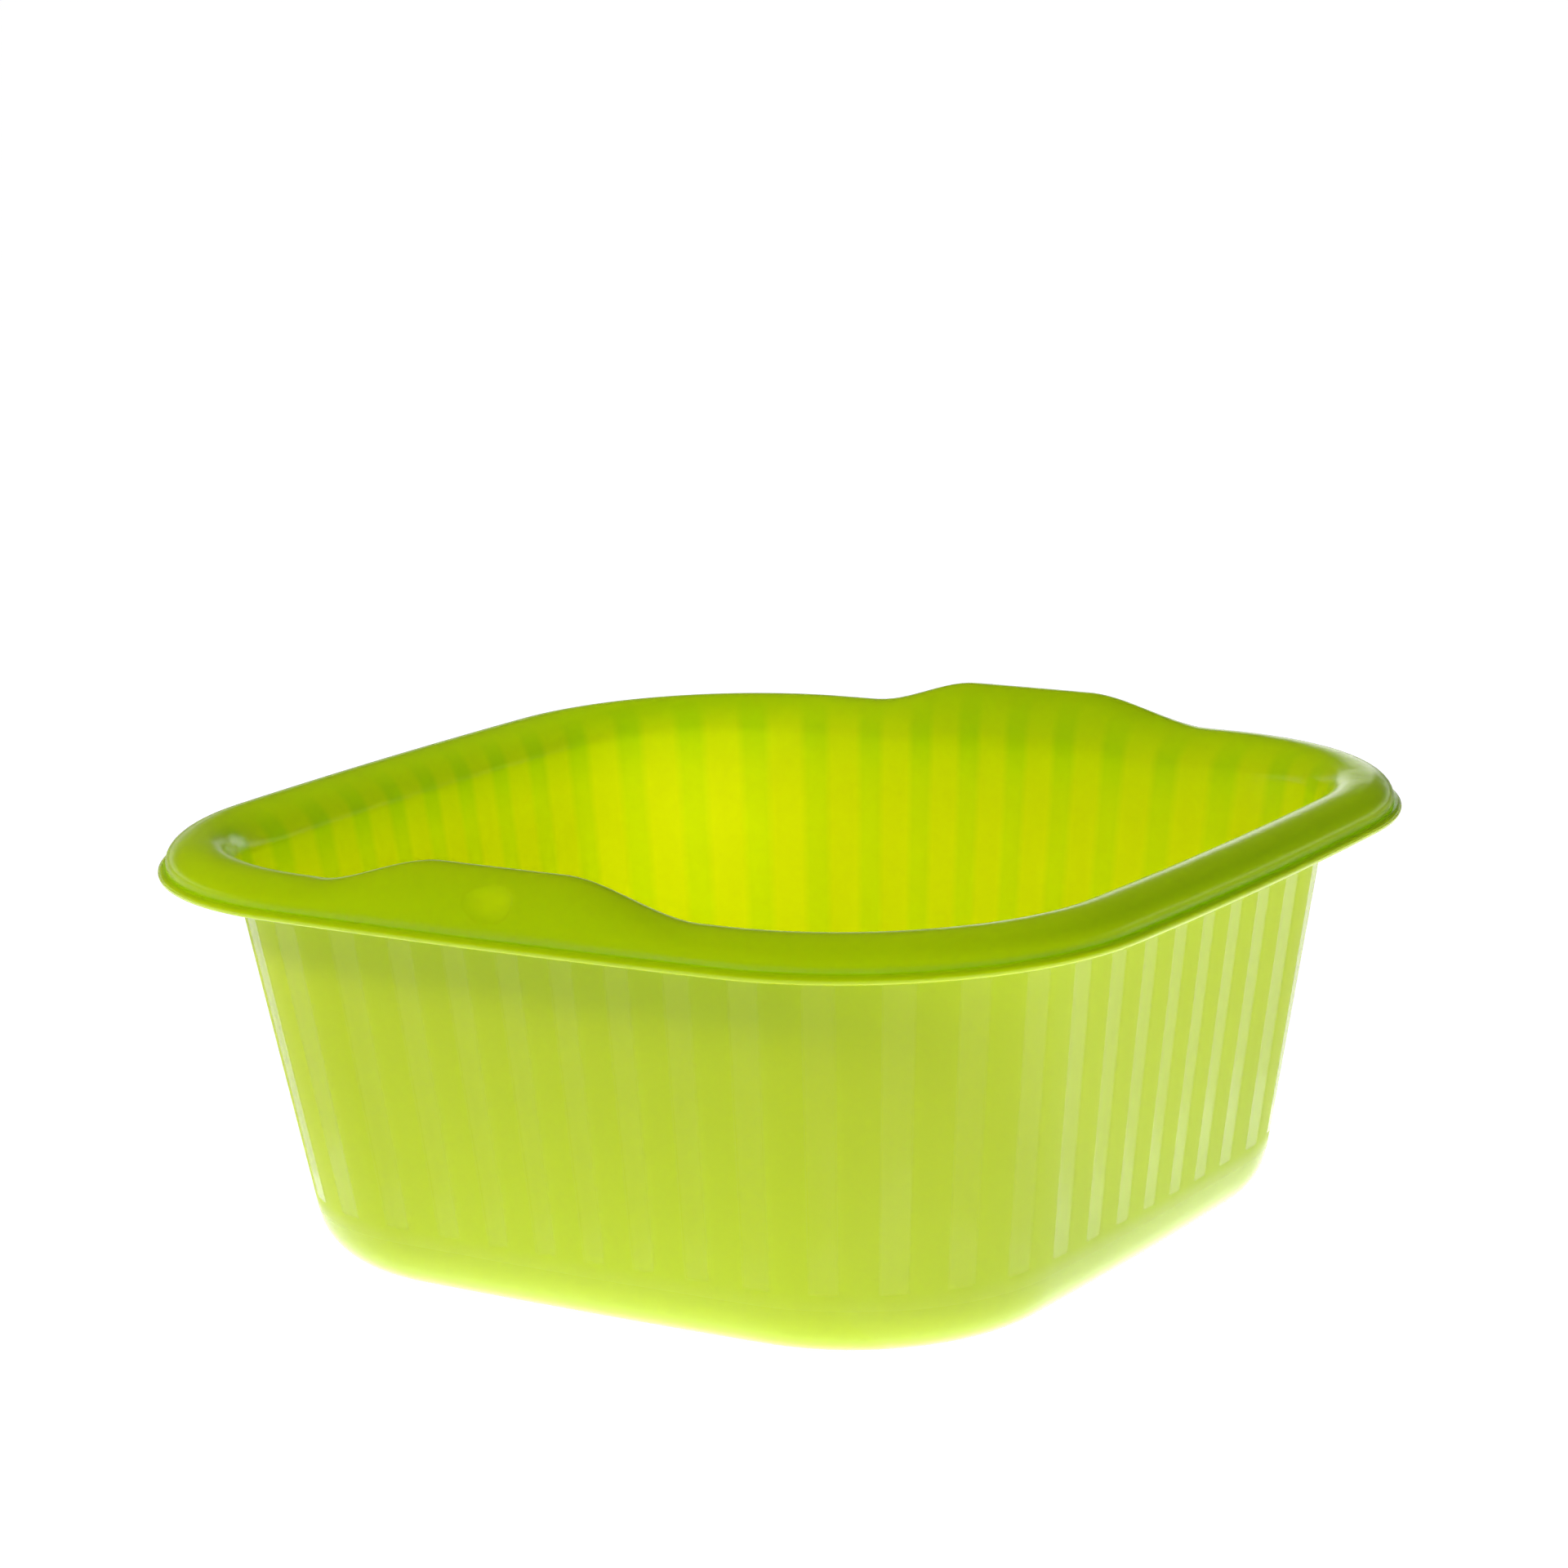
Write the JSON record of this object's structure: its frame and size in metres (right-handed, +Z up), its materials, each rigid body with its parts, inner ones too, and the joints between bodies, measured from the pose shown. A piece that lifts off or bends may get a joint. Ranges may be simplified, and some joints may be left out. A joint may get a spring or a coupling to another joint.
{
  "type": "wash basin",
  "caption": "Square plastic wash basin with rounded corners, a rolled rim with a beaded skirt, a raised grip on two opposite sides and shallow outer flutes.",
  "frame": {"origin": "centre of the base, on the surface that the basin stands on", "axes": "+Z up, out of the basin's mouth; the raised grips are on the -Y and +Y sides"},
  "size_m": [0.35, 0.35, 0.1511],
  "materials": {
    "green_plastic": "translucent lime-green polypropylene, glossy outside and in"
  },
  "bodies": {
    "root": {"basin": "green_plastic"}
  },
  "joints": []
}
